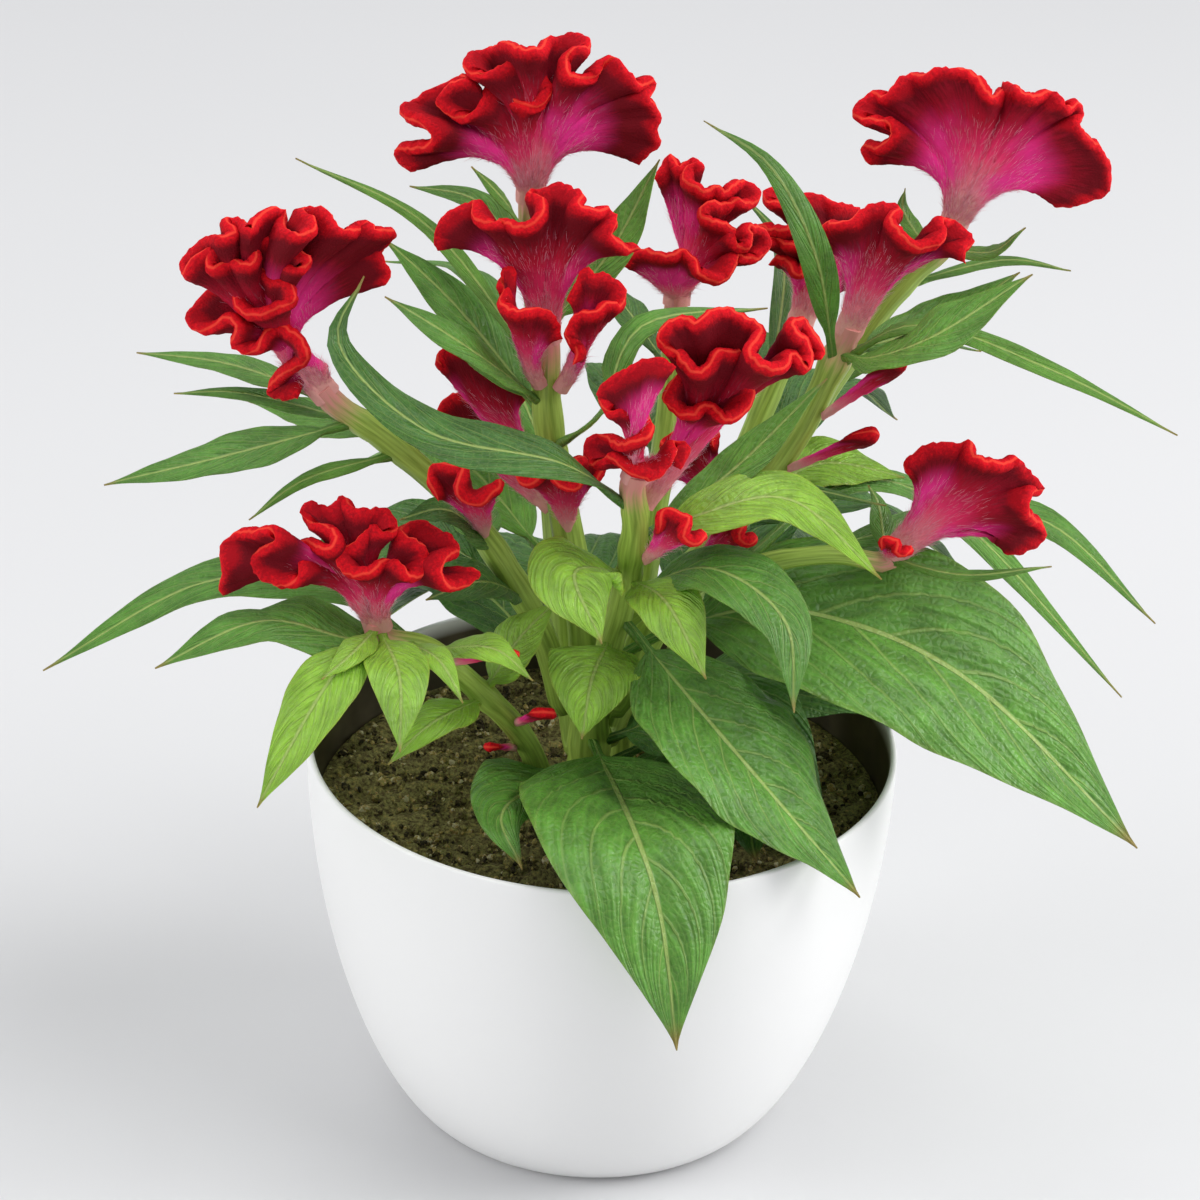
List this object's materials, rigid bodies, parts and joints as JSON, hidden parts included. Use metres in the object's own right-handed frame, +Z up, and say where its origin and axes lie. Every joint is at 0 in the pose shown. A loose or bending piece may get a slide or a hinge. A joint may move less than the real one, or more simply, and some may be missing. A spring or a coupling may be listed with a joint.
{
  "type": "potted cockscomb celosia",
  "caption": "Cockscomb celosia with ruffled velvet combs on leafy branching stems, growing in a round tapered pot open at the top.",
  "frame": {"origin": "centre of the pot's flat underside, on the surface it rests on", "axes": "+Z up along the pot's axis, -Y towards the side that the plant's largest front leaf hangs over, +X to its right seen from that side"},
  "size_m": [0.2744, 0.1966, 0.2846],
  "materials": {
    "pot": "satin white",
    "soil": "rough granular",
    "leaf": "soft satin leaf",
    "comb": "velvet"
  },
  "bodies": {
    "root": {"comb_back": "comb", "comb_back_right": "comb", "comb_bud_center": "comb", "comb_bud_low": "comb", "comb_bud_small_right": "comb", "comb_bud_top_right": "comb", "comb_center_lobe_left": "comb", "comb_center_lobe_right": "comb", "comb_center_upper": "comb", "comb_club_lower": "comb", "comb_club_upper": "comb", "comb_front_lower": "comb", "comb_front_upper": "comb", "comb_inner_left": "comb", "comb_inner_left_low": "comb", "comb_inner_right": "comb", "comb_left": "comb", "comb_lower_left": "comb", "comb_pink_back": "comb", "comb_pink_front": "comb", "comb_right_mid": "comb", "comb_shoot_low": "comb", "comb_side_center": "comb", "comb_side_left": "comb", "comb_small_right": "comb", "comb_strap_left": "comb", "comb_strap_right": "comb", "comb_top": "comb", "comb_top_right": "comb", "leafy_stem_back": "leaf", "leafy_stem_back_right": "leaf", "leafy_stem_front": "leaf", "leafy_stem_left": "leaf", "leafy_stem_lower_left": "leaf", "leafy_stem_main": "leaf", "leafy_stem_right": "leaf", "leafy_stem_small_right": "leaf", "leafy_stem_top": "leaf", "leafy_stem_top_right": "leaf", "pot": "pot", "soil": "soil"}
  },
  "joints": []
}
